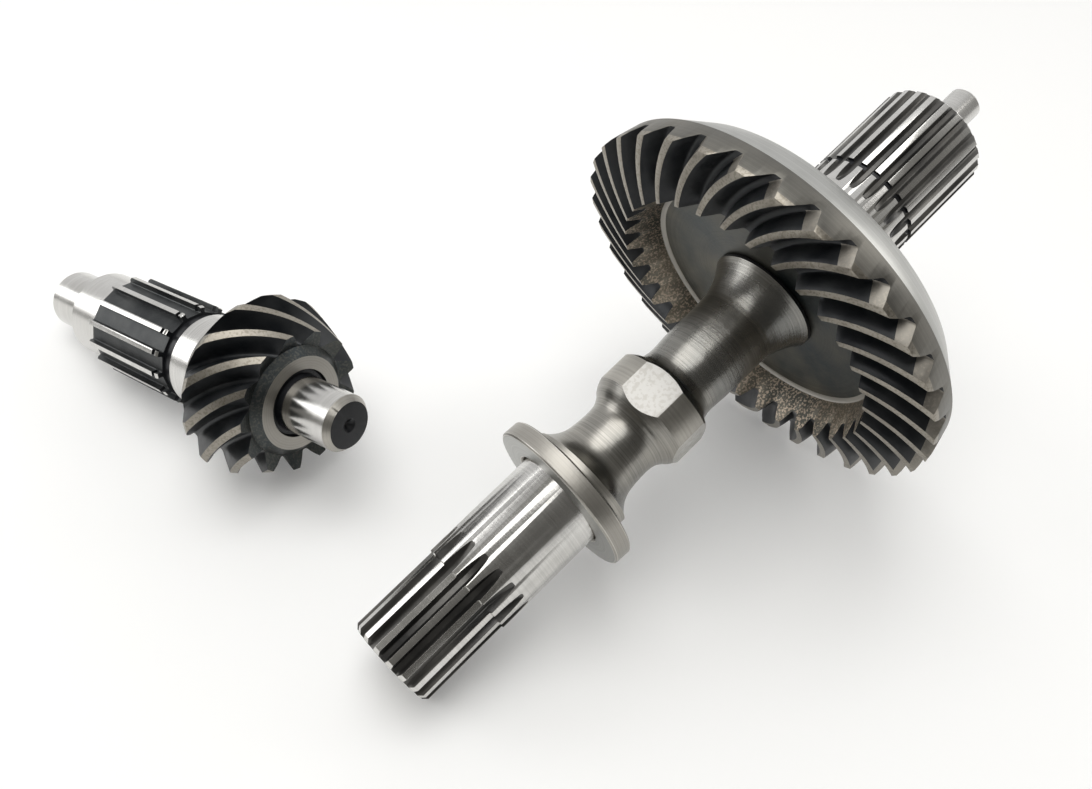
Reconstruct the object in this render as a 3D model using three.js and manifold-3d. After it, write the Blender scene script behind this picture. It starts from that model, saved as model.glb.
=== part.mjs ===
// Spiral bevel gear pair lying on its side on a flat surface: a crown gear pressed
// and splined on a long output shaft with a loose thrust washer, and next to it the
// pinion cut in one piece with its own shaft. Millimetres, +Z up.
import * as THREE from 'three';
import { mergeVertices } from 'three/addons/utils/BufferGeometryUtils.js';
import Module from 'manifold-3d';

const wasm = await Module();
wasm.setup();
const { PI, sin, cos, atan } = Math;
const DEG = PI / 180;

// ---------------------------------------------------------------- crown gear
const CROWN_TEETH = 33;
const CROWN_TOE_S = 130.0, CROWN_TOE_R = 43.0;      // tooth tips, inner end
const CROWN_HEEL_S = 134.4, CROWN_HEEL_R = 61.5;    // tooth tips, outer end
const CROWN_ROOT_TOE = [134.45, 41.2], CROWN_ROOT_HEEL = [139.6, 60.1];
const CROWN_SPIRAL = 14.35 * DEG;                   // turn from toe to heel
const RIM_S1 = 136.2, RIM_R1 = 61.4;                // narrow outer land of the teeth
const CROWN_PHASE = 43.0 * DEG;                     // a top land's toe end
const BACK_S1 = 143.3, BACK_R1 = 59.9;              // outer band / rear cone crease
const BACK_S2 = 152.8, BACK_R2 = 51.5;              // rear edge of the rim
const WEB_S = 141.4, WEB_R = 38.6;                  // bottom of the dished recess
const HUB_R = 16.9, HUB_END_S = 215.0;
const HUB_SPLINES = 23, HUB_SPLINE_DEPTH = 1.5, HUB_SPLINE_S = 180.5, HUB_RUNOUT_S = 175.0;
const HUB_SLOT_PHASE = 8.0 * DEG;
const RING_GROOVE_S = 183.1, RING_GROOVE_W = 1.6, RING_GROOVE_D = 1.0;
const BORE_R = 11.3;

// -------------------------------------------------------------- output shaft
const JOURNAL_R = 13.7;
const SPLINE_R = 13.2, SPLINES = 17, SPLINE_END_S = 26.5, SPLINE_DEPTH = 1.8;
const SLOT_PHASE = 15.8 * DEG;
const COLLAR_R = 15.6, FLAT_DIST = 14.25, FLAT_COUNT = 4, FLAT_PHASE = 12.2 * DEG;
const FLARE_R = 16.7, FLARE_S = 141.1;
const SHAFT_IN_BORE_R = 11.0, SHAFT_IN_BORE_END = 214.4;
const REAR_JOURNAL_R = 5.1, SHAFT_END_S = 231.5;

// ------------------------------------------------------------- thrust washer
const WASHER_S = 62.65, WASHER_T = 5.27, WASHER_R = 22.6, WASHER_BORE_R = 14.3;
const WASHER_LEAN = [-2.92 * DEG, 1.71 * DEG];      // the loose ring sits askew on the journal
const SHOULDER_S = 66.6;

// -------------------------------------------------------------------- pinion
const PINION_TEETH = 13;
const PINION_TOE_S = 20.1, PINION_TOE_R = 21.35;
const PINION_HEEL_S = 36.2, PINION_HEEL_R = 27.8;
const PINION_ROOT_TOE = [21.79, 17.07], PINION_ROOT_HEEL = [39.1, 21.6];
const PINION_RIM_S1 = 38.2, PINION_RIM_R1 = 27.2;   // chamfer on the outer ends of the teeth
const PINION_SPIRAL = -34.5 * DEG;
const PINION_PHASE = 10.0 * DEG;
const PINION_JOURNAL_R = 8.57;
const PINION_SPLINES = 14, PINION_SPLINE_R = 16.05, PINION_SPLINE_DEPTH = 2.1;
const PINION_SLOT_PHASE = 11.3 * DEG;
const PINION_SPLINE_S0 = 65.6, PINION_SPLINE_S1 = 101.5;
const PINION_COLLAR_R = 14.7;
const PINION_STEP_R = 13.8, PINION_STEP_S = 114.4;
const PINION_END_R = 9.5, PINION_LENGTH = 133.3;

// ------------------------------------------- how the two shafts lie on Z = 0
const CROWN_YAW = 41.640 * DEG, PINION_YAW = 143.845 * DEG;
const CROWN_AT = new THREE.Vector2(-19.451, -69.220);   // front end centre in plan
const PINION_AT = new THREE.Vector2(-35.368, -7.952);  // journal end centre in plan

// ------------------------------------------------------------------- helpers
function toSolid(geometry) {
  const g = geometry.clone();
  g.deleteAttribute('normal');
  if (g.attributes.uv) g.deleteAttribute('uv');
  const m = mergeVertices(g, 1e-4);
  const idx = m.index.array, p = m.attributes.position.array, tri = [];
  for (let i = 0; i < idx.length; i += 3) {
    const [a, b, c] = [idx[i], idx[i + 1], idx[i + 2]];
    if (a !== b && b !== c && a !== c) tri.push(a, b, c);
  }
  let vol = 0;
  for (let i = 0; i < tri.length; i += 3) {
    const [a, b, c] = [tri[i] * 3, tri[i + 1] * 3, tri[i + 2] * 3];
    vol += p[a] * (p[b + 1] * p[c + 2] - p[b + 2] * p[c + 1])
         - p[a + 1] * (p[b] * p[c + 2] - p[b + 2] * p[c])
         + p[a + 2] * (p[b] * p[c + 1] - p[b + 1] * p[c]);
  }
  if (vol < 0) for (let i = 0; i < tri.length; i += 3) [tri[i], tri[i + 1]] = [tri[i + 1], tri[i]];
  return new wasm.Manifold(new wasm.Mesh({
    numProp: 3, vertProperties: new Float32Array(p), triVerts: new Uint32Array(tri) }));
}
function toGeometry(solid) {
  const mesh = solid.getMesh();
  const g = new THREE.BufferGeometry();
  g.setAttribute('position', new THREE.BufferAttribute(new Float32Array(mesh.vertProperties), 3));
  g.setIndex(new THREE.BufferAttribute(new Uint32Array(mesh.triVerts), 1));
  g.computeVertexNormals();
  return g;
}
// Solid of revolution about local Z from [s, r] pairs.
function turned(profile, segments, phase = 0) {
  const g = new THREE.LatheGeometry(profile.map(([s, r]) => new THREE.Vector2(r, s)), segments);
  g.rotateX(PI / 2);
  g.rotateZ(phase);
  return toSolid(g);
}
const onCircle = (r, a, s) => new THREE.Vector3(r * cos(a), r * sin(a), s);
// Closed skin through rings of equal point count, each end closed by a fan.
function skin(rings) {
  const n = rings[0].length, pos = [], idx = [];
  rings.forEach(ring => ring.forEach(v => pos.push(v.x, v.y, v.z)));
  for (let k = 0; k + 1 < rings.length; k++)
    for (let i = 0; i < n; i++) {
      const a = k * n + i, b = k * n + (i + 1) % n, c = a + n, d = b + n;
      idx.push(a, b, d, a, d, c);
    }
  for (const [k, flip] of [[0, true], [rings.length - 1, false]]) {
    const mid = new THREE.Vector3();
    rings[k].forEach(v => mid.addScaledVector(v, 1 / n));
    const m = pos.length / 3;
    pos.push(mid.x, mid.y, mid.z);
    for (let i = 0; i < n; i++) {
      const a = k * n + i, b = k * n + (i + 1) % n;
      if (flip) idx.push(m, b, a); else idx.push(m, a, b);
    }
  }
  const g = new THREE.BufferGeometry();
  g.setAttribute('position', new THREE.Float32BufferAttribute(pos, 3));
  g.setIndex(idx);
  return toSolid(g);
}
// One tooth space of a spiral bevel gear. At every station t (0 toe, 1 heel) the
// section runs from the root line up past the tip line; half widths are lengths
// along the circumference, given at the toe and at the heel.
const mix = (a, b, t) => a + (b - a) * t;
function toothSpace(c, centre) {
  return skin(c.stations.map(t => {
    const tip = [mix(c.toe[0], c.heel[0], t), mix(c.toe[1], c.heel[1], t)];
    const root = [mix(c.rootToe[0], c.rootHeel[0], t), mix(c.rootToe[1], c.rootHeel[1], t)];
    const psi = centre + c.spiral * (t + c.bow * (t * t - t));
    const wRoot = mix(c.half[0][0], c.half[0][1], t), wTip = mix(c.half[1][0], c.half[1][1], t);
    const at = (h, sign) => {
      const s = mix(root[0], tip[0], h), r = mix(root[1], tip[1], h);
      return onCircle(r, psi + c.lean * t * (1 - h) + sign * mix(wRoot, wTip, h) / r, s);
    };
    return [at(0, 1), at(1.4, 1), at(1.4, -1), at(0, -1)];
  }));
}
// One straight spline space along Z: full depth to s1, then an arc out to s2.
function splineSpace(a, R, depth, wBottom, slope, s0, s1, s2, lift) {
  const zs = [s0], rise = [0];
  for (const f of [0, 0.5, 1]) { zs.push(s1 + (s2 - s1) * f); rise.push(lift * f * f); }
  return skin(zs.map((z, k) => {
    const lo = R - depth + rise[k], hi = R + 3;
    const w = r => wBottom + (r - lo) * slope;
    return [[lo, -1], [hi, -1], [hi, 1], [lo, 1]].map(([r, sg]) => {
      const x = r, y = sg * w(r);
      return new THREE.Vector3(x * cos(a) - y * sin(a), x * sin(a) + y * cos(a), z);
    });
  }));
}
const cutAll = (solid, cutters) => cutters.reduce((acc, c) => acc.subtract(c), solid);
const around = (n, phase, fn) => Array.from({ length: n }, (_, k) => fn(phase + 2 * PI * k / n));
const steel = (color, roughness) => new THREE.MeshStandardMaterial({ color, metalness: 1, roughness });
function piece(name, solid, material) {
  const mesh = new THREE.Mesh(toGeometry(solid), material);
  mesh.name = name;
  return mesh;
}

// ---------------------------------------------------------------- crown gear
let crown = turned([
  [WEB_S, BORE_R + 1], [WEB_S, WEB_R - 0.8], [WEB_S - 0.5, WEB_R],
  [CROWN_TOE_S, CROWN_TOE_R], [CROWN_HEEL_S, CROWN_HEEL_R], [RIM_S1, RIM_R1],
  [BACK_S1, BACK_R1], [BACK_S2, BACK_R2], [BACK_S2, BORE_R + 1], [WEB_S, BORE_R + 1],
], 66, CROWN_PHASE);
crown = cutAll(crown, around(CROWN_TEETH, CROWN_PHASE + PI / CROWN_TEETH, a => toothSpace({
  toe: [CROWN_TOE_S, CROWN_TOE_R], heel: [CROWN_HEEL_S, CROWN_HEEL_R],
  rootToe: CROWN_ROOT_TOE, rootHeel: CROWN_ROOT_HEEL, spiral: CROWN_SPIRAL, bow: 0.18, lean: 0.5 * DEG,
  half: [[1.02, 1.31], [3.24, 4.41]], stations: [-0.25, 0.1, 0.4, 0.7, 1, 1.35] }, a)));
const hub = turned([
  [WEB_S, BORE_R], [WEB_S, HUB_R - 2.0], [BACK_S2 - 1.0, HUB_R - 2.0], [BACK_S2 - 1.0, HUB_R + 2.6], [BACK_S2 + 2.4, HUB_R],
  [RING_GROOVE_S - RING_GROOVE_W / 2, HUB_R], [RING_GROOVE_S - RING_GROOVE_W / 2, HUB_R - RING_GROOVE_D],
  [RING_GROOVE_S + RING_GROOVE_W / 2, HUB_R - RING_GROOVE_D], [RING_GROOVE_S + RING_GROOVE_W / 2, HUB_R],
  [HUB_END_S - 1.2, HUB_R], [HUB_END_S, HUB_R - 1.2], [HUB_END_S, BORE_R], [WEB_S, BORE_R],
], 46, HUB_SLOT_PHASE);
crown = crown.add(hub);
crown = cutAll(crown, around(HUB_SPLINES, HUB_SLOT_PHASE, a =>
  splineSpace(a, HUB_R, HUB_SPLINE_DEPTH, 0.75, 0.5, HUB_END_S + 1, HUB_SPLINE_S, HUB_RUNOUT_S, 1.7)));

// -------------------------------------------------------------- output shaft
let shaft = turned([
  [0, 0], [0, SPLINE_R - 1.1], [1.1, SPLINE_R], [SPLINE_END_S, SPLINE_R], [SPLINE_END_S + 0.3, JOURNAL_R],
  [SHOULDER_S, JOURNAL_R], [SHOULDER_S, 15.9], [68.9, 15.9], [69.6, 14.9], [71.6, 13.2],
  [74.0, 12.0], [77.0, 11.4], [82.0, 11.15], [85.0, 11.5], [87.2, 12.6], [88.6, 13.9], [91.2, COLLAR_R],
  [100.6, COLLAR_R], [102.0, 14.2], [103.0, 12.5], [104.6, 11.8], [107.5, 11.4], [113.0, 11.75],
  [127.0, 11.9], [132.0, 12.6], [136.0, 14.1], [138.6, 15.5], [140.2, FLARE_R], [FLARE_S, FLARE_R],
  [FLARE_S, SHAFT_IN_BORE_R], [SHAFT_IN_BORE_END, SHAFT_IN_BORE_R], [SHAFT_IN_BORE_END, REAR_JOURNAL_R],
  [SHAFT_END_S - 0.9, REAR_JOURNAL_R], [SHAFT_END_S, REAR_JOURNAL_R - 0.9], [SHAFT_END_S, 0],
], 34, SLOT_PHASE);
shaft = cutAll(shaft, around(SPLINES, SLOT_PHASE, a =>
  splineSpace(a, SPLINE_R, SPLINE_DEPTH, 0.85, 0.42, -1, SPLINE_END_S, 36.0, 2.45)));
shaft = cutAll(shaft, around(FLAT_COUNT, FLAT_PHASE, a => {
  const g = new THREE.BoxGeometry(6, 30, 18);
  g.translate(FLAT_DIST + 3, 0, 96);
  g.rotateZ(a);
  return toSolid(g);
}));

// ------------------------------------------------------------- thrust washer
const washer = turned([
  [-WASHER_T / 2, WASHER_BORE_R + 0.5], [-WASHER_T / 2, WASHER_R - 0.5], [-WASHER_T / 2 + 0.5, WASHER_R],
  [WASHER_T / 2 - 0.5, WASHER_R], [WASHER_T / 2, WASHER_R - 0.5], [WASHER_T / 2, WASHER_BORE_R],
  [-WASHER_T / 2 + 0.5, WASHER_BORE_R], [-WASHER_T / 2, WASHER_BORE_R + 0.5],
], 48);

// -------------------------------------------------------------------- pinion
let pinion = turned([
  [2.6, 0], [0.9, 1.0], [0, 2.2], [0, 7.1], [1.9, PINION_JOURNAL_R], [18.4, PINION_JOURNAL_R],
  [20.6, 8.9], [20.6, 9.9], [19.6, 10.4], [19.6, 14.3], [22.0, 16.8],
  [PINION_TOE_S, PINION_TOE_R], [PINION_HEEL_S, PINION_HEEL_R], [PINION_RIM_S1, PINION_RIM_R1], [53.3, PINION_COLLAR_R], [58.0, PINION_COLLAR_R], [58.0, 0],
], 39, PINION_PHASE);
pinion = pinion.add(turned([
  [56.0, 0], [56.0, PINION_COLLAR_R], [61.0, PINION_COLLAR_R], [61.4, 13.4], [65.2, 13.4], [PINION_SPLINE_S0, PINION_SPLINE_R - 0.3],
  [PINION_SPLINE_S0 + 0.5, PINION_SPLINE_R], [PINION_SPLINE_S1 - 0.8, PINION_SPLINE_R],
  [PINION_SPLINE_S1, PINION_SPLINE_R - 0.8], [PINION_SPLINE_S1, PINION_STEP_R],
  [PINION_STEP_S - 0.6, PINION_STEP_R], [PINION_STEP_S, PINION_STEP_R - 0.6], [PINION_STEP_S, PINION_END_R],
  [PINION_LENGTH - 1.4, PINION_END_R], [PINION_LENGTH, PINION_END_R - 1.4], [PINION_LENGTH, 0],
], 28, PINION_SLOT_PHASE));
pinion = cutAll(pinion, around(PINION_TEETH, PINION_PHASE + PI / PINION_TEETH, a => toothSpace({
  toe: [PINION_TOE_S, PINION_TOE_R], heel: [PINION_HEEL_S, PINION_HEEL_R],
  rootToe: PINION_ROOT_TOE, rootHeel: PINION_ROOT_HEEL, spiral: PINION_SPIRAL, bow: 0.08, lean: 0,
  half: [[0.73, 0.95], [3.9, 5.1]], stations: [-0.22, 0.12, 0.45, 0.8, 1.1, 1.4] }, a)));
pinion = cutAll(pinion, around(PINION_SPLINES, PINION_SLOT_PHASE, a =>
  splineSpace(a, PINION_SPLINE_R, PINION_SPLINE_DEPTH, 2.55, 0.12, PINION_SPLINE_S1 + 1, PINION_SPLINE_S0 + 1.5, 62.5, 1.0)));

// ------------------------------------------------------------------ assembly
// Each shaft lies with two circles on the surface: the crown on its tooth tips and
// the front spline end, the pinion on its tooth tips and the edge of its rear step.
function lying(yaw, at, sFoot, rFoot, sGear, rGear) {
  const tilt = atan((rGear - rFoot) / (sGear - sFoot));
  const axis = new THREE.Vector3(cos(tilt) * cos(yaw), cos(tilt) * sin(yaw), sin(tilt));
  const up = new THREE.Vector3(-sin(tilt) * cos(yaw), -sin(tilt) * sin(yaw), cos(tilt));
  const group = new THREE.Group();
  group.quaternion.setFromRotationMatrix(
    new THREE.Matrix4().makeBasis(up, new THREE.Vector3().crossVectors(axis, up), axis));
  group.position.set(at.x, at.y, rFoot * cos(tilt) - sFoot * sin(tilt));
  return group;
}
const crownSide = lying(CROWN_YAW, CROWN_AT, 1.1, SPLINE_R, CROWN_HEEL_S, CROWN_HEEL_R);
crownSide.add(piece('output_shaft', shaft, steel(0xa8a6a0, 0.28)));
crownSide.add(piece('crown_gear', crown, steel(0x6f6e69, 0.42)));
const ring = piece('thrust_washer', washer, steel(0x9a958a, 0.4));
ring.position.z = WASHER_S;
ring.rotation.set(-WASHER_LEAN[1], WASHER_LEAN[0], 0);
crownSide.add(ring);

const pinionSide = lying(PINION_YAW, PINION_AT, PINION_STEP_S - 0.6, PINION_STEP_R, PINION_HEEL_S, PINION_HEEL_R);
pinionSide.add(piece('pinion_shaft', pinion, steel(0x77777a, 0.38)));

const group = new THREE.Group();
group.add(crownSide, pinionSide);
group.updateMatrixWorld(true);
export default group;
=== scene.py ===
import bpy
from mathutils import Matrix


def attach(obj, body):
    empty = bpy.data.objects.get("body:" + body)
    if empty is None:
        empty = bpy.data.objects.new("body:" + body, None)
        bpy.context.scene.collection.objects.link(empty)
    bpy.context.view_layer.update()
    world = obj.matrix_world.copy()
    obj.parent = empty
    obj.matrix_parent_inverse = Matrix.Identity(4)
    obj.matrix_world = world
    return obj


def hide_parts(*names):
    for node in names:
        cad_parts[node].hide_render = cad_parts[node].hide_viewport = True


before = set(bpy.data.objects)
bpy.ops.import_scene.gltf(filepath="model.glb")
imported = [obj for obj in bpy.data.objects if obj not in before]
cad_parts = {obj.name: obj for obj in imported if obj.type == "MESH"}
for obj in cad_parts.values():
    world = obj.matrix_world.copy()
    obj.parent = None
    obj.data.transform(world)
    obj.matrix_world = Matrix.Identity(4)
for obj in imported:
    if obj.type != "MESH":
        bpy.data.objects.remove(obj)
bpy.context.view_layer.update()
# Spiral bevel gear pair: a crown gear on its splined output shaft with a loose thrust
# washer, and the pinion shaft beside it. Metres; the turned parts are drawn in
# millimetres in each shaft's own frame, s along the axis and r from it.
import bpy, bmesh, math
from math import sin, cos, pi, radians, atan
from mathutils import Matrix, Vector

MM = 0.001
mix = lambda a, b, t: a + (b - a) * t

# ------------------------------------------------------------------ placement
def lying(yaw, at, s_foot, r_foot, s_gear, r_gear):
    y, t = radians(yaw), atan((r_gear - r_foot) / (s_gear - s_foot))
    axis = Vector((cos(t) * cos(y), cos(t) * sin(y), sin(t)))
    up = Vector((-sin(t) * cos(y), -sin(t) * sin(y), cos(t)))
    e2 = axis.cross(up)
    m = Matrix((up, e2, axis)).transposed().to_4x4()
    m.translation = Vector((at[0], at[1], r_foot * cos(t) - s_foot * sin(t))) * MM
    return m

CROWN = lying(41.640, (-19.451, -69.220), 1.1, 13.2, 134.4, 61.5)
PINION = lying(143.845, (-35.368, -7.952), 113.8, 13.8, 36.2, 27.8)

# ------------------------------------------------------------------ materials
def node(nt, kind, **kw):
    n = nt.nodes.new(kind)
    for k, v in kw.items():
        setattr(n, k, v)
    return n

def steel(name, c1, c2, rough, rough2, metal=1.0, grain=900.0, rings=0.0, bump=0.05,
          speck=None, speck_scale=1400.0, speck_amount=0.5, blotch=60.0, aniso=0.0, coat=0.0):
    """Steel with colour blotches (c1 to c2), a fine grain, turning rings along the
    shaft's own axis and, where given, a sprinkle of speck-coloured grains."""
    m = bpy.data.materials.new(name)
    m.use_nodes = True
    nt = m.node_tree
    bsdf = nt.nodes["Principled BSDF"]
    L = nt.links.new
    tc = node(nt, "ShaderNodeTexCoord")
    sep = node(nt, "ShaderNodeSeparateXYZ")
    L(tc.outputs["Object"], sep.inputs[0])
    flat = node(nt, "ShaderNodeCombineXYZ")
    L(sep.outputs[0], flat.inputs[0]); L(sep.outputs[1], flat.inputs[1])
    rad = node(nt, "ShaderNodeVectorMath", operation="LENGTH")
    L(flat.outputs[0], rad.inputs[0])
    big = node(nt, "ShaderNodeTexNoise")
    big.inputs["Scale"].default_value = blotch
    big.inputs["Detail"].default_value = 6
    L(tc.outputs["Object"], big.inputs["Vector"])
    ramp = node(nt, "ShaderNodeValToRGB")
    ramp.color_ramp.elements[0].position = 0.34
    ramp.color_ramp.elements[1].position = 0.66
    ramp.color_ramp.elements[0].color = (*c1, 1)
    ramp.color_ramp.elements[1].color = (*c2, 1)
    L(big.outputs["Fac"], ramp.inputs["Fac"])
    col = ramp.outputs["Color"]
    fine = node(nt, "ShaderNodeTexNoise")
    fine.inputs["Scale"].default_value = grain
    fine.inputs["Detail"].default_value = 3
    L(tc.outputs["Object"], fine.inputs["Vector"])
    # rings: noise that only changes along the axis and with the radius
    along = node(nt, "ShaderNodeCombineXYZ")
    L(sep.outputs[2], along.inputs[0]); L(rad.outputs["Value"], along.inputs[1])
    ring = node(nt, "ShaderNodeTexNoise")
    ring.inputs["Scale"].default_value = 2600.0
    ring.inputs["Detail"].default_value = 4
    L(along.outputs[0], ring.inputs["Vector"])
    if speck:
        sp = node(nt, "ShaderNodeTexNoise")
        sp.inputs["Scale"].default_value = speck_scale
        sp.inputs["Detail"].default_value = 2
        L(tc.outputs["Object"], sp.inputs["Vector"])
        sr = node(nt, "ShaderNodeValToRGB")
        sr.color_ramp.elements[0].position = 0.50
        sr.color_ramp.elements[1].position = 0.60
        L(sp.outputs["Fac"], sr.inputs["Fac"])
        amt = node(nt, "ShaderNodeMath", operation="MULTIPLY")
        L(sr.outputs["Color"], amt.inputs[0]); amt.inputs[1].default_value = speck_amount
        mx = node(nt, "ShaderNodeMix", data_type="RGBA")
        L(amt.outputs[0], mx.inputs[0]); L(col, mx.inputs[6])
        mx.inputs[7].default_value = (*speck, 1)
        col = mx.outputs[2]
    # a little darkening from the rings
    dark = node(nt, "ShaderNodeMapRange")
    L(ring.outputs["Fac"], dark.inputs["Value"])
    dark.inputs["From Min"].default_value = 0.3; dark.inputs["From Max"].default_value = 0.7
    dark.inputs["To Min"].default_value = 1.0 - 0.35 * rings; dark.inputs["To Max"].default_value = 1.0
    mul = node(nt, "ShaderNodeMix", data_type="RGBA", blend_type="MULTIPLY")
    mul.inputs[0].default_value = 1.0
    L(col, mul.inputs[6]); L(dark.outputs["Result"], mul.inputs[7])
    L(mul.outputs[2], bsdf.inputs["Base Color"])
    rr = node(nt, "ShaderNodeMapRange")
    L(big.outputs["Fac"], rr.inputs["Value"])
    rr.inputs["From Min"].default_value = 0.35; rr.inputs["From Max"].default_value = 0.65
    rr.inputs["To Min"].default_value = rough; rr.inputs["To Max"].default_value = rough2
    L(rr.outputs["Result"], bsdf.inputs["Roughness"])
    add = node(nt, "ShaderNodeMath", operation="MULTIPLY_ADD")
    L(ring.outputs["Fac"], add.inputs[0]); add.inputs[1].default_value = rings
    L(fine.outputs["Fac"], add.inputs[2])
    b = node(nt, "ShaderNodeBump")
    b.inputs["Strength"].default_value = bump
    b.inputs["Distance"].default_value = 0.0004
    L(add.outputs[0], b.inputs["Height"])
    L(b.outputs["Normal"], bsdf.inputs["Normal"])
    bsdf.inputs["Metallic"].default_value = metal
    if aniso:
        tan = node(nt, "ShaderNodeTangent", direction_type="RADIAL", axis="Z")
        L(tan.outputs[0], bsdf.inputs["Tangent"])
        bsdf.inputs["Anisotropic"].default_value = aniso
    if coat:
        bsdf.inputs["Coat Weight"].default_value = coat
        bsdf.inputs["Coat Roughness"].default_value = 0.25
    return m

SPEC = [
    ("ground", dict(c1=(0.62, 0.61, 0.585), c2=(0.70, 0.69, 0.67), rough=0.17, rough2=0.24, rings=0.5, bump=0.03, aniso=0.3)),
    ("satin", dict(c1=(0.36, 0.345, 0.315), c2=(0.46, 0.44, 0.40), rough=0.34, rough2=0.42, rings=0.7, bump=0.06)),
    # near-black tooth flanks: painted shade between the teeth
    ("shaded_flank", dict(c1=(0.010, 0.012, 0.015), c2=(0.030, 0.032, 0.034), rough=0.34, rough2=0.5, metal=0.35, bump=0.05, blotch=140)),
    ("dish", dict(c1=(0.032, 0.043, 0.046), c2=(0.15, 0.14, 0.115), rough=0.30, rough2=0.42, metal=0.9, rings=0.6, bump=0.06, blotch=45)),
    ("wall", dict(c1=(0.30, 0.265, 0.21), c2=(0.10, 0.10, 0.088), rough=0.40, rough2=0.5, metal=0.85, bump=0.15, speck=(0.56, 0.46, 0.36), speck_amount=0.75, blotch=48)),
    ("edge", dict(c1=(0.50, 0.48, 0.44), c2=(0.62, 0.60, 0.56), rough=0.26, rough2=0.34, bump=0.04)),
    ("neck", dict(c1=(0.22, 0.22, 0.21), c2=(0.42, 0.40, 0.36), rough=0.24, rough2=0.34, rings=1.0, bump=0.08, blotch=38)),
    ("band", dict(c1=(0.16, 0.155, 0.14), c2=(0.24, 0.23, 0.205), rough=0.42, rough2=0.5, rings=0.8, bump=0.06, blotch=55)),
    ("rear", dict(c1=(0.46, 0.46, 0.44), c2=(0.56, 0.56, 0.54), rough=0.36, rough2=0.44, rings=0.9, bump=0.07, blotch=70)),
    ("flat", dict(c1=(0.52, 0.51, 0.49), c2=(0.62, 0.61, 0.585), rough=0.5, rough2=0.58, metal=0.75, bump=0.1, speck=(0.3, 0.27, 0.22), speck_scale=900, speck_amount=0.25)),
    ("slot", dict(c1=(0.06, 0.06, 0.06), c2=(0.15, 0.145, 0.135), rough=0.28, rough2=0.4, metal=0.9, bump=0.07)),
    ("phos", dict(c1=(0.035, 0.038, 0.040), c2=(0.085, 0.088, 0.088), rough=0.36, rough2=0.46, metal=0.8, bump=0.12, grain=1800, blotch=110)),
    ("land", dict(c1=(0.26, 0.24, 0.205), c2=(0.36, 0.335, 0.29), rough=0.36, rough2=0.46, bump=0.12, speck=(0.16, 0.14, 0.11), speck_amount=0.5, blotch=90)),
    ("toe", dict(c1=(0.040, 0.048, 0.052), c2=(0.085, 0.09, 0.085), rough=0.36, rough2=0.46, metal=0.85, rings=0.5, bump=0.1, speck=(0.16, 0.15, 0.13), speck_amount=0.35, blotch=70)),
    ("cone", dict(c1=(0.15, 0.15, 0.14), c2=(0.24, 0.235, 0.215), rough=0.42, rough2=0.5, bump=0.3, speck=(0.42, 0.40, 0.36), speck_amount=0.4, blotch=120)),
    # lighter steel painted on the heel ends of the tooth flanks as a highlight
    ("heel_highlight", dict(c1=(0.21, 0.195, 0.17), c2=(0.32, 0.30, 0.265), rough=0.42, rough2=0.52, metal=0.7, bump=0.09, speck=(0.36, 0.33, 0.28), speck_amount=0.35, blotch=160)),
    # near-black painted shade for grooves, gaps, bores and the centre hole
    ("recess_shade", dict(c1=(0.008, 0.009, 0.011), c2=(0.02, 0.021, 0.024), rough=0.3, rough2=0.42, metal=0.3, bump=0.04)),
    ("ring", dict(c1=(0.35, 0.335, 0.305), c2=(0.43, 0.41, 0.375), rough=0.36, rough2=0.46, rings=0.6, bump=0.07, blotch=50)),
]
MAT = {n: steel("steel_" + n, **kw) for n, kw in SPEC}
IDX = {n: i for i, (n, _) in enumerate(SPEC)}

# ------------------------------------------------------------------- geometry
def curve(pts, n=6):
    """Catmull-Rom through the points, ends kept."""
    out = []
    P = [pts[0]] + list(pts) + [pts[-1]]
    for i in range(1, len(P) - 2):
        for k in range(n):
            t = k / n
            q = []
            for d in (0, 1):
                a, b, c, e = (P[i + j][d] for j in (-1, 0, 1, 2))
                q.append(0.5 * (2 * b + (c - a) * t + (2 * a - 5 * b + 4 * c - e) * t * t + (3 * b - a - 3 * c + e) * t ** 3))
            out.append(tuple(q))
    out.append(tuple(pts[-1]))
    return out

def lathe(name, parts, seg, phase=0.0):
    """parts: [(material, [(s, r), ...]), ...], joined end to end. Profiles start and
    end on the axis or close on themselves."""
    prof, mats = [], []
    for mat, pts in parts:
        pts = list(pts)
        if prof and (abs(prof[-1][0] - pts[0][0]) + abs(prof[-1][1] - pts[0][1])) < 1e-6:
            pts = pts[1:]
        for p in pts:
            if prof:
                mats.append(IDX[mat])
            prof.append(p)
    closed = prof[0][1] > 1e-6
    bm = bmesh.new()
    if closed:
        prof = prof[:-1]
    rows = []
    for s, r in prof:
        if r < 1e-6:
            rows.append([bm.verts.new((0, 0, s * MM))])
        else:
            rows.append([bm.verts.new((r * MM * cos(phase + 2 * pi * k / seg), r * MM * sin(phase + 2 * pi * k / seg), s * MM)) for k in range(seg)])
    n = len(rows)
    for i in range(n if closed else n - 1):
        a, b = rows[i], rows[(i + 1) % n]
        for k in range(seg):
            k2 = (k + 1) % seg
            if len(a) == 1 and len(b) == 1:
                break
            if len(a) == 1:
                f = bm.faces.new((a[0], b[k], b[k2]))
            elif len(b) == 1:
                f = bm.faces.new((a[k], b[0], a[k2]))
            else:
                f = bm.faces.new((a[k], b[k], b[k2], a[k2]))
            f.material_index = mats[i] if i < len(mats) else 0
    bmesh.ops.recalc_face_normals(bm, faces=bm.faces)
    return to_object(name, bm)

def to_object(name, bm):
    me = bpy.data.meshes.new(name)
    bm.to_mesh(me); bm.free()
    ob = bpy.data.objects.new(name, me)
    bpy.context.scene.collection.objects.link(ob)
    for n, _ in SPEC:
        me.materials.append(MAT[n])
    return ob

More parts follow.
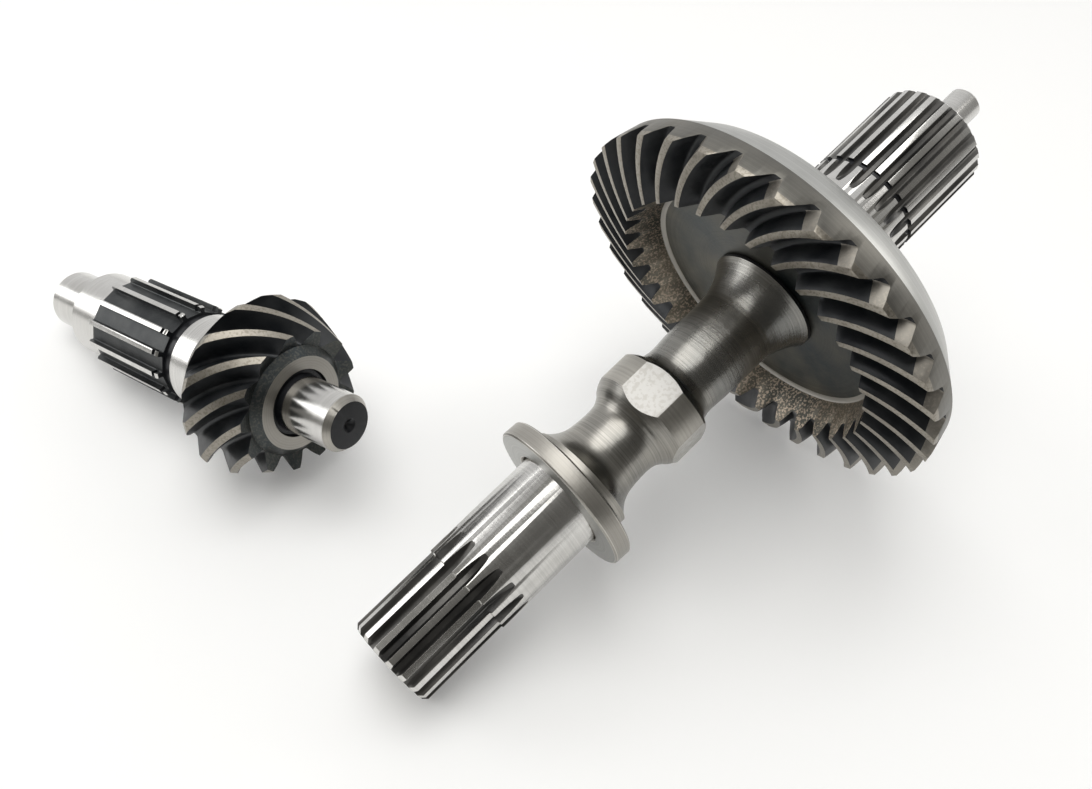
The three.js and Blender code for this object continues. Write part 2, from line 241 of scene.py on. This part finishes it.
def skins(name, groups, mat):
    """One mesh of closed skins; each group is a list of rings of points in mm."""
    bm = bmesh.new()
    for rings in groups:
        rows = [[bm.verts.new(Vector(p) * MM) for p in ring] for ring in rings]
        n = len(rows[0])
        fs = []
        for a, b in zip(rows, rows[1:]):
            for i in range(n):
                j = (i + 1) % n
                fs.append(bm.faces.new((a[i], a[j], b[j], b[i])))
        fs.append(bm.faces.new(rows[0][::-1]))
        fs.append(bm.faces.new(rows[-1]))
        for f in fs:
            f.material_index = IDX[mat]
    bmesh.ops.recalc_face_normals(bm, faces=bm.faces)
    return to_object(name, bm)

def keep_materials(me):
    for i, (n, _) in enumerate(SPEC):
        if i < len(me.materials):
            me.materials[i] = MAT[n]
        else:
            me.materials.append(MAT[n])

def cut(ob, cutter, op="DIFFERENCE"):
    m = ob.modifiers.new("cut", "BOOLEAN")
    m.object = cutter; m.operation = op; m.solver = "EXACT"
    m.material_mode = "INDEX"
    bpy.context.view_layer.update()
    dg = bpy.context.evaluated_depsgraph_get()
    me = bpy.data.meshes.new_from_object(ob.evaluated_get(dg))
    old = ob.data
    ob.modifiers.clear()
    ob.data = me
    keep_materials(me)
    bpy.data.meshes.remove(old)
    bpy.data.objects.remove(cutter)

def tooth_spaces(n, phase, toe, heel, root_toe, root_heel, spiral, bow, lean, half, t0, t1, steps, top=1.3, belly=0.16):
    groups = []
    for k in range(n):
        centre = phase + 2 * pi * k / n
        rings = []
        for i in range(steps + 1):
            t = mix(t0, t1, i / steps)
            tip = (mix(toe[0], heel[0], t), mix(toe[1], heel[1], t))
            root = (mix(root_toe[0], root_heel[0], t), mix(root_toe[1], root_heel[1], t))
            psi = centre + spiral * (t + bow * (t * t - t))
            wr, wt = mix(*half[0], t), mix(*half[1], t)
            def at(h, sign, trim=0.0):
                s, r = mix(root[0], tip[0], h), mix(root[1], tip[1], h)
                w = mix(wr, wt, h) - belly * 4 * max(0, h * (1 - h)) - trim
                a = psi + lean * t * (1 - h) + sign * w / r
                return (r * cos(a), r * sin(a), s)
            side = [(0.0, 0.42), (0.03, 0.14), (0.11, 0.0), (0.3, 0), (0.5, 0), (0.72, 0), (1.0, 0), (top, 0)]
            rings.append([at(h, 1, c) for h, c in side] + [at(h, -1, c) for h, c in reversed(side)])
        groups.append(rings)
    return groups

def spline_spaces(n, phase, R, depth, w_bottom, slope, s0, s1, s2, lift, steps=12):
    groups = []
    for k in range(n):
        a = phase + 2 * pi * k / n
        rings = []
        for s, up in [(s0, 0.0)] + [(mix(s1, s2, i / steps), lift * (i / steps) ** 2) for i in range(steps + 1)]:
            lo, hi = R - depth + up, R + 3
            w = lambda r: w_bottom + (r - lo) * slope
            pts = [(hi, w(hi)), (lo + 0.22, w(lo + 0.22)), (lo, w(lo) - 0.2), (lo, -w(lo) + 0.2), (lo + 0.22, -w(lo + 0.22)), (hi, -w(hi))]
            rings.append([(x * cos(a) - y * sin(a), x * sin(a) + y * cos(a), s) for x, y in pts])
        groups.append(rings)
    return groups

def ring_cutter(name, s0, s1, r0, r1, seg, mat):
    return lathe(name, [(mat, [(s0, r0), (s0, r1), (s1, r1), (s1, r0), (s0, r0)])], seg)

def finish_piece(ob, place, body, nodes, edge=0.16, angle=38):
    ob.matrix_world = place
    me = ob.data
    me.polygons.foreach_set("use_smooth", [True] * len(me.polygons))
    if edge:
        b = ob.modifiers.new("edges", "BEVEL")
        b.width = edge * MM; b.segments = 2; b.limit_method = "ANGLE"; b.angle_limit = radians(angle)
        b.material = IDX["edge"]; b.use_clamp_overlap = True; b.miter_outer = "MITER_ARC"
        bpy.context.view_layer.update()
        dg = bpy.context.evaluated_depsgraph_get()
        me2 = bpy.data.meshes.new_from_object(ob.evaluated_get(dg))
        ob.modifiers.clear()
        ob.data = me2
        keep_materials(me2)
        bpy.data.meshes.remove(me)
        me = me2
    me.polygons.foreach_set("use_smooth", [True] * len(me.polygons))
    me.set_sharp_from_angle(angle=radians(32))
    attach(ob, body)
    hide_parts(*nodes)

# -------------------------------------------------------------- the crown gear
TOE, HEEL = (130.0, 43.0), (134.4, 61.5)
crown = lathe("crown_gear_fine", [
    ("dish", [(141.4, 12.3), (141.4, 37.6)]),
    ("satin", [(141.4, 37.6), (140.9, 38.5), (140.6, 38.9)]),
    ("wall", [(140.6, 38.9), (140.2, 38.88), TOE]),
    ("land", [TOE, HEEL]),
    ("land", [HEEL, (136.2, 61.4)]),
    ("band", [(136.2, 61.4), (143.3, 59.9)]),
    ("rear", [(143.3, 59.9), (152.4, 51.9), (152.8, 51.1)]),
    ("band", [(152.8, 51.1), (152.8, 15.2)]),
    ("band", [(152.8, 15.2), (152.8, 12.3)]),
    ("dish", [(152.8, 12.3), (141.4, 12.3)]),
], 264, radians(43.0))
# the crown's tooth flanks get near-black steel, painted shade between the teeth
cut(crown, skins("spaces", tooth_spaces(33, radians(43.0) + pi / 33, TOE, HEEL, (134.45, 41.2), (139.6, 60.1),
    radians(14.35), 0.18, radians(0.5), [[1.02, 1.31], [3.24, 4.41]], -0.25, 1.35, 20), "shaded_flank"))
# painted highlight: the heel end of one flank of each tooth gets lighter steel, standing in for the light those flanks
# catch at the heel
for p in crown.data.polygons:
    c, q = p.center, p.normal
    if p.material_index == IDX["shaded_flank"] and c.xy.length > 58.4 * MM and (c.x * q.y - c.y * q.x) * -1 > 0.3 * c.xy.length:
        p.material_index = IDX["heel_highlight"]
# the hub's inner faces, snap ring groove and bore are painted near-black as shade
hub = lathe("hub", [
    ("recess_shade", [(141.4, 11.3), (141.4, 14.9), (151.8, 14.9)]),
    ("rear", [(151.8, 14.9), (151.8, 19.5)]),
    ("rear", curve([(151.8, 19.5), (153.0, 17.9), (155.2, 16.9)], 4)),
    ("ground", [(155.2, 16.9), (182.3, 16.9)]),
    ("recess_shade", [(182.3, 16.9), (182.3, 15.9), (183.9, 15.9), (183.9, 16.9)]),
    ("ground", [(183.9, 16.9), (213.8, 16.9), (215.0, 15.7)]),
    ("satin", [(215.0, 15.7), (215.0, 11.3)]),
    ("recess_shade", [(215.0, 11.3), (141.4, 11.3)]),
], 184, radians(8.0))
cut(hub, skins("hub_slots", spline_spaces(23, radians(8.0), 16.9, 1.5, 0.75, 0.5, 217, 180.5, 175, 1.7), "slot"))
cut(crown, hub, "UNION")
finish_piece(crown, CROWN, "crown_shaft", ["crown_gear"], 0.17)

# ------------------------------------------------------------ the output shaft
# the shoulder gap behind the washer, the flare's end and the bore are painted near-black as shade
shaft = lathe("output_shaft_fine", [
    ("satin", [(0, 0), (0, 12.1)]),
    ("ground", [(0, 12.1), (1.1, 13.2), (26.5, 13.2), (26.8, 13.7), (66.6, 13.7)]),
    ("recess_shade", [(66.6, 13.7), (66.6, 15.5), (66.9, 15.9)]),
    ("satin", [(66.9, 15.9), (68.9, 15.9)]),
    ("neck", curve([(68.9, 15.9), (69.6, 14.9), (71.6, 13.2), (74.0, 12.0), (77.0, 11.4), (82.0, 11.15), (85.0, 11.5), (87.2, 12.6), (88.6, 13.9), (91.2, 15.6)])),
    ("satin", [(91.2, 15.6), (100.6, 15.6)]),
    ("neck", curve([(100.6, 15.6), (102.0, 14.2), (103.0, 12.5), (104.6, 11.8), (107.5, 11.4), (113.0, 11.75)])),
    ("neck", curve([(113.0, 11.75), (127.0, 11.9), (132.0, 12.6), (136.0, 14.1), (138.6, 15.5), (140.2, 16.7)])),
    ("recess_shade", [(140.2, 16.7), (141.1, 16.7), (141.1, 11.0), (214.4, 11.0), (214.4, 5.1)]),
    ("ground", [(214.4, 5.1), (230.6, 5.1), (231.5, 4.2)]),
    ("satin", [(231.5, 4.2), (231.5, 0)]),
], 204, radians(15.8))
cut(shaft, skins("front_slots", spline_spaces(17, radians(15.8), 13.2, 1.8, 0.85, 0.42, -1, 26.5, 36, 2.45), "slot"))
flats = []
for k in range(4):
    a = radians(12.2) + k * pi / 2
    rings = []
    for s in (87.0, 105.0):
        rings.append([(x * cos(a) - y * sin(a), x * sin(a) + y * cos(a), s) for x, y in ((14.25, -14), (20, -14), (20, 14), (14.25, 14))])
    flats.append(rings)
cut(shaft, skins("flats", flats, "flat"))
finish_piece(shaft, CROWN, "crown_shaft", ["output_shaft"], 0.14)

# ----------------------------------------------------------- the thrust washer
h = 5.27 / 2
washer = lathe("thrust_washer_fine", [
    ("rear", [(-h, 14.8), (-h, 22.1)]),
    ("ring", [(-h, 22.1), (-h + 0.5, 22.6), (h - 0.5, 22.6), (h, 22.1)]),
    ("band", [(h, 22.1), (h, 14.3)]),
    ("ring", [(h, 14.3), (-h + 0.5, 14.3), (-h, 14.8)]),
], 180)
lean = Matrix.Translation((0, 0, 62.65 * MM)) @ Matrix.Rotation(-radians(1.71), 4, "X") @ Matrix.Rotation(-radians(2.92), 4, "Y")
finish_piece(washer, CROWN @ lean, "thrust_washer", ["thrust_washer"], 0.1)

# ----------------------------------------------------------------- the pinion
PTOE, PHEEL = (20.1, 21.35), (36.2, 27.8)
# the centre hole and the grooves are painted near-black as shade
pinion = lathe("pinion_shaft_fine", [
    ("recess_shade", [(2.6, 0), (0.9, 1.0), (0, 2.2), (0, 7.1)]),
    ("satin", [(0, 7.1), (1.9, 8.57)]),
    ("ground", [(1.9, 8.57), (18.4, 8.57)]),
    ("recess_shade", [(18.4, 8.57), (20.6, 8.9), (20.6, 9.9), (19.6, 10.4)]),
    ("ring", [(19.6, 10.4), (19.6, 14.3)]),
    ("toe", [(19.6, 14.3), (22.0, 16.8), PTOE]),
    ("land", [PTOE, PHEEL, (38.2, 27.2)]),
    ("cone", [(38.2, 27.2), (53.3, 14.7)]),
    ("ground", [(53.3, 14.7), (61.0, 14.7)]),
    ("recess_shade", [(61.0, 14.7), (61.4, 13.4), (65.2, 13.4), (65.6, 15.75)]),
    ("ground", [(65.6, 15.75), (66.1, 16.05), (100.7, 16.05), (101.5, 15.25)]),
    ("phos", [(101.5, 15.25), (101.5, 13.8)]),
    ("ground", [(101.5, 13.8), (113.8, 13.8), (114.4, 13.2)]),
    ("satin", [(114.4, 13.2), (114.4, 9.5)]),
    ("ground", [(114.4, 9.5), (131.9, 9.5), (133.3, 8.1)]),
    ("satin", [(133.3, 8.1), (133.3, 0)]),
], 182, radians(10.0))
# the pinion's tooth flanks get near-black steel, painted shade between the teeth
cut(pinion, skins("pinion_spaces", tooth_spaces(13, radians(10.0) + pi / 13, PTOE, PHEEL, (21.79, 17.07), (39.1, 21.6),
    radians(-34.5), 0.08, 0.0, [[0.73, 0.95], [3.9, 5.1]], -0.22, 1.4, 24, 1.3, 0.22), "shaded_flank"))
cut(pinion, skins("pinion_slots", spline_spaces(14, radians(11.3), 16.05, 2.1, 2.55, 0.12, 102.5, 67.1, 62.5, 1.0), "phos"))
# the cut groove is painted near-black as shade
cut(pinion, ring_cutter("groove", 66.9, 68.3, 14.2, 17.5, 182, "recess_shade"))
finish_piece(pinion, PINION, "pinion", ["pinion_shaft"], 0.2)

# ------------------------------------------------------------ studio and camera
floor_mat = bpy.data.materials.new("studio_floor")
floor_mat.use_nodes = True
fb = floor_mat.node_tree.nodes["Principled BSDF"]
fb.inputs["Base Color"].default_value = (0.83, 0.83, 0.825, 1)
fb.inputs["Roughness"].default_value = 0.8
fb.inputs["Emission Color"].default_value = (1.0, 1.0, 0.995, 1)
fb.inputs["Emission Strength"].default_value = 0.17
bm = bmesh.new()
bmesh.ops.create_grid(bm, x_segments=1, y_segments=1, size=6)
me = bpy.data.meshes.new("floor"); bm.to_mesh(me); bm.free()
floor = bpy.data.objects.new("floor", me)
bpy.context.scene.collection.objects.link(floor)
me.materials.append(floor_mat)
floor.location = (0, 0, -0.00002)

def area(name, loc, target, size, power, color=(1, 1, 1), size_y=None):
    d = bpy.data.lights.new(name, "AREA")
    d.energy = power; d.color = color
    d.shape = "RECTANGLE"; d.size = size; d.size_y = size_y or size
    o = bpy.data.objects.new(name, d)
    bpy.context.scene.collection.objects.link(o)
    o.location = loc
    o.rotation_euler = (Vector(target) - Vector(loc)).to_track_quat("-Z", "Y").to_euler()
    return o

key = area("key", (-0.12, -0.06, 1.06), (-0.12, -0.06, 0.0), 0.8, 7.3, (1.0, 0.995, 0.98), 1.05)
key.rotation_euler = (0.0, 0.0, 0.0)
area("left", (-1.05, 0.2, 0.46), (-0.05, 0.0, 0.04), 0.55, 2.3)
area("right", (1.0, 0.45, 0.55), (0.05, 0.0, 0.05), 0.35, 2.0, (1, 0.98, 0.95), 0.8)

world = bpy.data.worlds.new("studio")
bpy.context.scene.world = world
world.use_nodes = True
wt = world.node_tree
bg = wt.nodes["Background"]
tc = wt.nodes.new("ShaderNodeTexCoord")
sp = wt.nodes.new("ShaderNodeSeparateXYZ")
wt.links.new(tc.outputs["Generated"], sp.inputs[0])
wr = wt.nodes.new("ShaderNodeValToRGB")
els = wr.color_ramp.elements
els[0].position = 0.0; els[0].color = (0.12, 0.116, 0.108, 1)
els[1].position = 1.0; els[1].color = (1.0, 1.0, 1.0, 1)
e = els.new(0.45); e.color = (0.27, 0.265, 0.25, 1)
e = els.new(0.72); e.color = (0.85, 0.85, 0.85, 1)
mr = wt.nodes.new("ShaderNodeMapRange")
mr.inputs["From Min"].default_value = -1.0
mr.inputs["From Max"].default_value = 1.0
wt.links.new(sp.outputs[1], mr.inputs["Value"])
wt.links.new(mr.outputs["Result"], wr.inputs["Fac"])
wt.links.new(wr.outputs["Color"], bg.inputs["Color"])
bg.inputs["Strength"].default_value = 0.9

cam = bpy.data.cameras.new("camera")
cam.lens = 34.397; cam.sensor_width = 36.0; cam.clip_start = 0.01
co = bpy.data.objects.new("camera", cam)
bpy.context.scene.collection.objects.link(co)
right = Vector((0.999553, 0.0, 0.0298997)); up = Vector((-0.0206368, 0.7236167, 0.6898935)); back = Vector((-0.0216359, -0.690202, 0.723293))
m = Matrix((right, up, back)).transposed().to_4x4()
m.translation = Vector((0.012955, -0.202635, 0.25194))
co.matrix_world = m
bpy.context.scene.camera = co
bpy.context.scene.view_settings.view_transform = "Standard"

bpy.context.view_layer.update()
